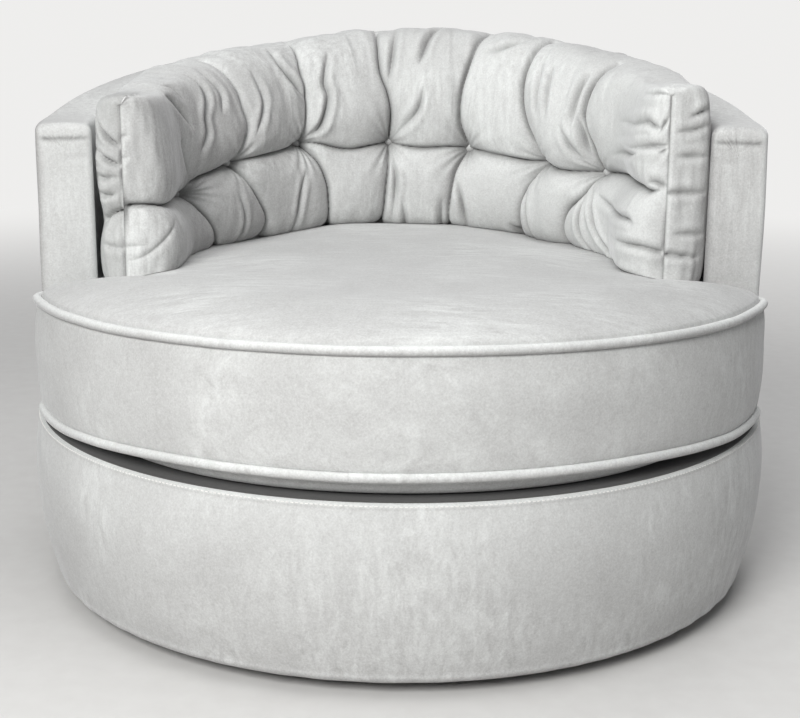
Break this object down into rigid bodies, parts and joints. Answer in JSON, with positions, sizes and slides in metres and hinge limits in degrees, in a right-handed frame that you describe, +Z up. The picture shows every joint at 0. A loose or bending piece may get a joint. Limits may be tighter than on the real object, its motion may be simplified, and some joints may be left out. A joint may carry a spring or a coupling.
{
  "type": "upholstered swivel tub chair",
  "caption": "Round upholstered swivel tub chair: drum base on a ball-bearing turntable, low curved arm-and-back wall, loose piped seat cushion and a tufted C-shaped bolster.",
  "frame": {"origin": "on the floor, under the swivel axis, at the middle of the round base", "axes": "+Z up along the swivel axis, -Y towards the front where a person sits down, +X to the right of a viewer who faces the front"},
  "size_m": [1.07, 1.07, 0.7774],
  "materials": {
    "velvet": "matte",
    "plywood": "matte",
    "hardboard": "satin",
    "foam": "matte",
    "dark_cloth": "matte",
    "steel": "satin",
    "glide_plastic": "matte"
  },
  "bodies": {
    "floor_base": {"plinth": "plywood", "glides": "glide_plastic", "glide_screws": "steel", "swivel_lower_plate": "steel", "lower_plate_screws": "steel", "swivel_rivet": "steel"},
    "ball_ring": {"bearing_balls": "steel", "ball_cage": "steel"},
    "chair": {"swivel_upper_plate": "steel", "upper_plate_bolts": "steel", "upper_plate_nuts": "steel", "drum_floor": "plywood", "drum_uprights": "plywood", "drum_top_ring": "plywood", "drum_side_panel": "hardboard", "drum_padding": "foam", "drum_cover": "velvet", "dust_cloth": "dark_cloth", "webbing_across": "dark_cloth", "webbing_lengthwise": "dark_cloth", "deck_pad": "foam", "deck_cloth": "dark_cloth", "wall_cover": "velvet", "wall_padding": "foam", "wall_inner_board": "hardboard", "wall_outer_board": "hardboard", "wall_top_rail": "plywood", "wall_bottom_rail": "plywood", "wall_posts": "plywood", "wall_bolts": "steel", "wall_nuts": "steel"},
    "seat_cushion": {"seat_foam": "foam", "seat_bottom_panel": "velvet", "seat_top_panel": "velvet", "seat_band": "velvet", "seat_zip": "dark_cloth", "seat_piping_top": "velvet", "seat_piping_bottom": "velvet"},
    "back_bolster": {"bolster_fill": "foam", "bolster_cover": "velvet", "tuft_buttons": "velvet", "tuft_twines": "dark_cloth", "tuft_back_buttons": "velvet"}
  },
  "joints": [
    {"name": "chair_swivel", "type": "hinge", "parent": "floor_base", "child": "chair", "pos_m": [0, 0, 0.03], "axis": [0, 0, 1], "continuous": true},
    {"name": "ball_ring_turn", "type": "hinge", "parent": "floor_base", "child": "ball_ring", "pos_m": [0, 0, 0.03], "axis": [0, 0, 1], "continuous": true},
    {"name": "seat_cushion_lift", "type": "slide", "parent": "chair", "child": "seat_cushion", "axis": [0, 0, 1], "range_m": [0, 0.52]},
    {"name": "back_bolster_lift", "type": "slide", "parent": "seat_cushion", "child": "back_bolster", "axis": [0, 0, 1], "range_m": [0, 0.34]}
  ],
  "couplings": [
    {"joint": "ball_ring_turn", "follows": "chair_swivel", "ratio": 0.5}
  ]
}
